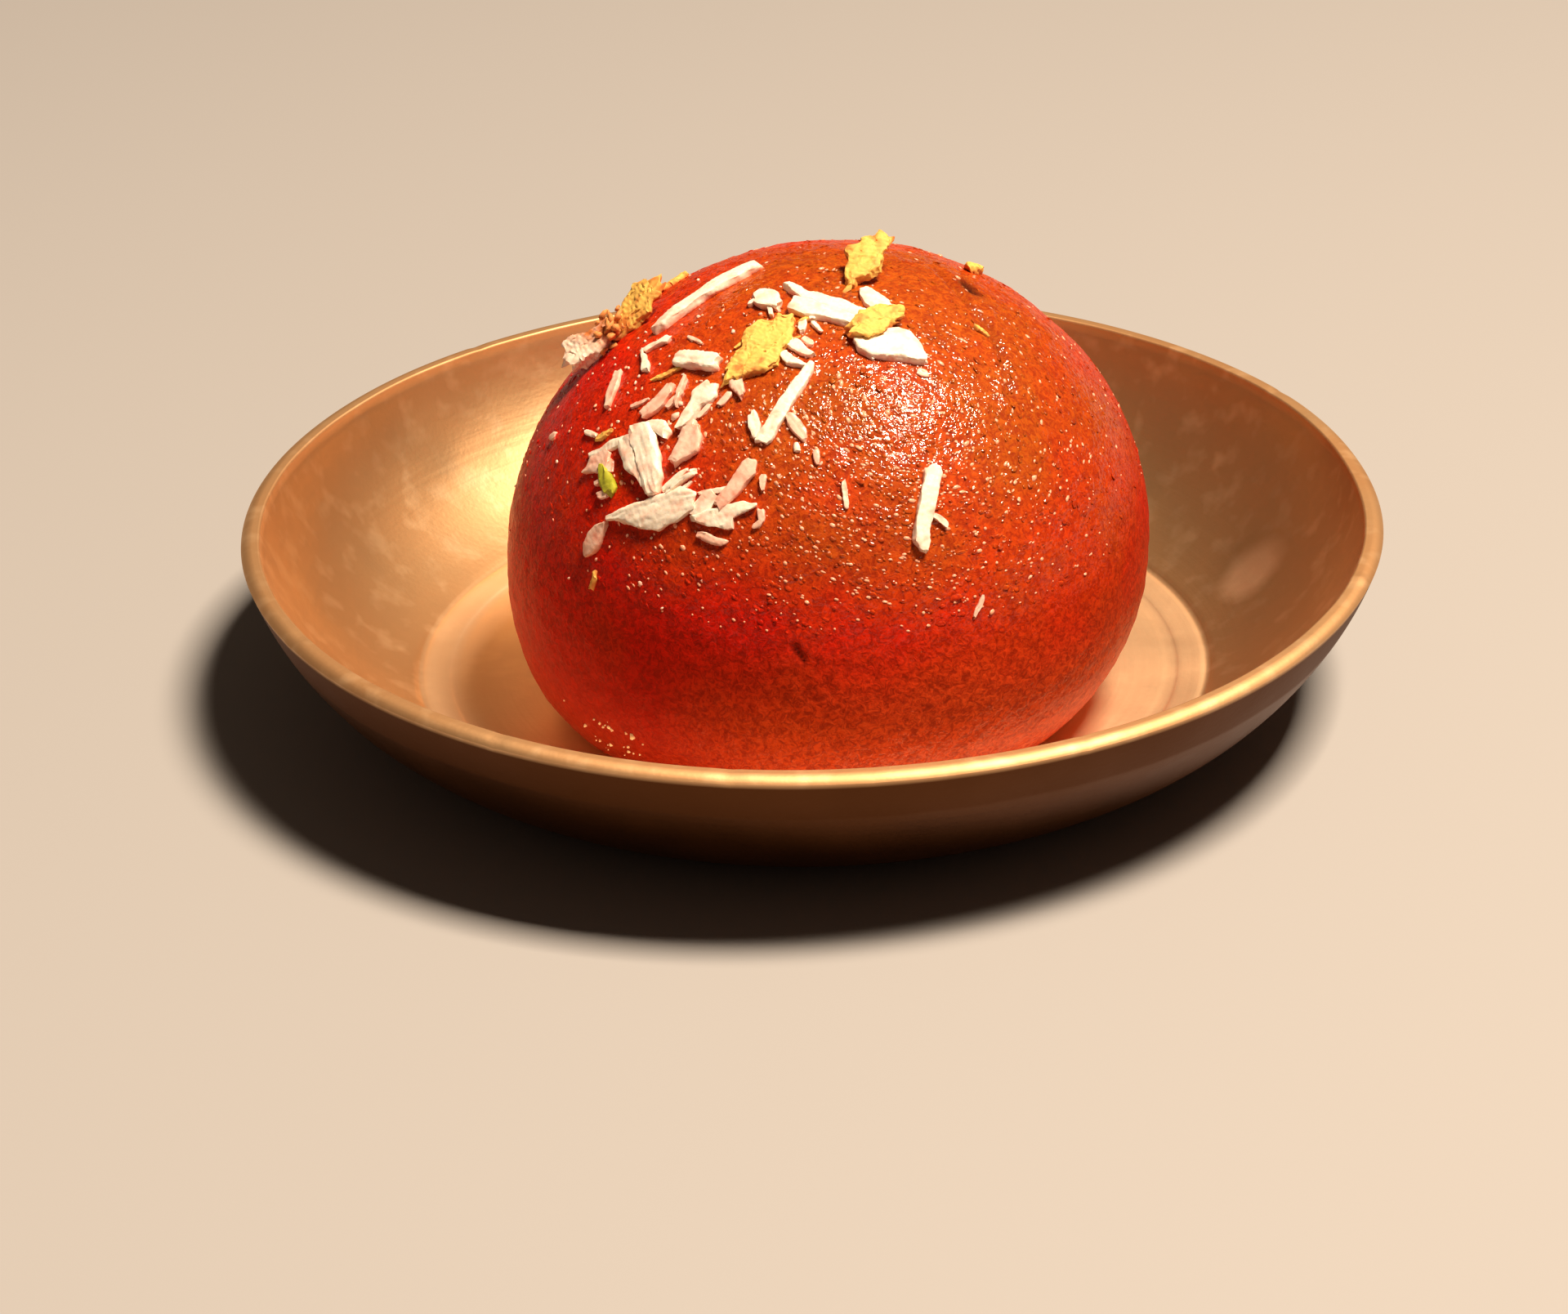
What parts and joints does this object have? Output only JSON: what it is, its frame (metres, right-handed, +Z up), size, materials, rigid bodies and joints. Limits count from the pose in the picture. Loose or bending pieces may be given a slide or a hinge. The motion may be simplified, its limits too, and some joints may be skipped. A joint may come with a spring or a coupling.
{
  "type": "gulab jamun",
  "caption": "Syrup-soaked round milk-dough sweet, strewn on top with slivered nuts and golden flakes, resting in its own shallow round brass dish.",
  "frame": {"origin": "middle of the dish's flat underside", "axes": "+Z up along the dish's axis, -Y towards the viewer's side, to which the sweet sits a little nearer, +X to the right"},
  "size_m": [0.09, 0.09, 0.0402],
  "materials": {
    "brass": "satin, lightly tarnished, spun",
    "dough": "fried dough crust, wet with syrup, fine orange-peel relief",
    "almond": "dry cut nut, fine grain",
    "soaked_almond": "cut nut wet with syrup",
    "golden_flake": "grainy, crumbly, matte",
    "pistachio": "cut nut"
  },
  "bodies": {
    "root": {"dish": "brass", "gulab_jamun": "dough", "almond_blade_broad": "almond", "almond_blade_long": "almond", "almond_block": "almond", "almond_bone": "almond", "almond_bright": "almond", "almond_chip_left": "almond", "almond_chip_top": "almond", "almond_fork_high": "almond", "almond_fork_low": "almond", "almond_hook": "almond", "almond_needle": "almond", "almond_needle_foot": "almond", "almond_nub": "almond", "almond_shred_middle": "almond", "almond_shred_top": "almond", "almond_slab": "almond", "almond_stub": "almond", "almond_thread": "almond", "almond_wedge": "almond", "flake_crest": "golden_flake", "flake_curl": "golden_flake", "flake_flat": "golden_flake", "flake_overhang": "golden_flake", "flake_standing": "golden_flake", "pistachio_bit": "pistachio", "soaked_bundle": "soaked_almond", "soaked_chunk": "soaked_almond", "soaked_oval": "soaked_almond", "soaked_shred": "soaked_almond", "soaked_side": "soaked_almond", "soaked_stub": "soaked_almond", "soaked_stub_left": "soaked_almond", "soaked_tongue": "soaked_almond"}
  },
  "joints": []
}
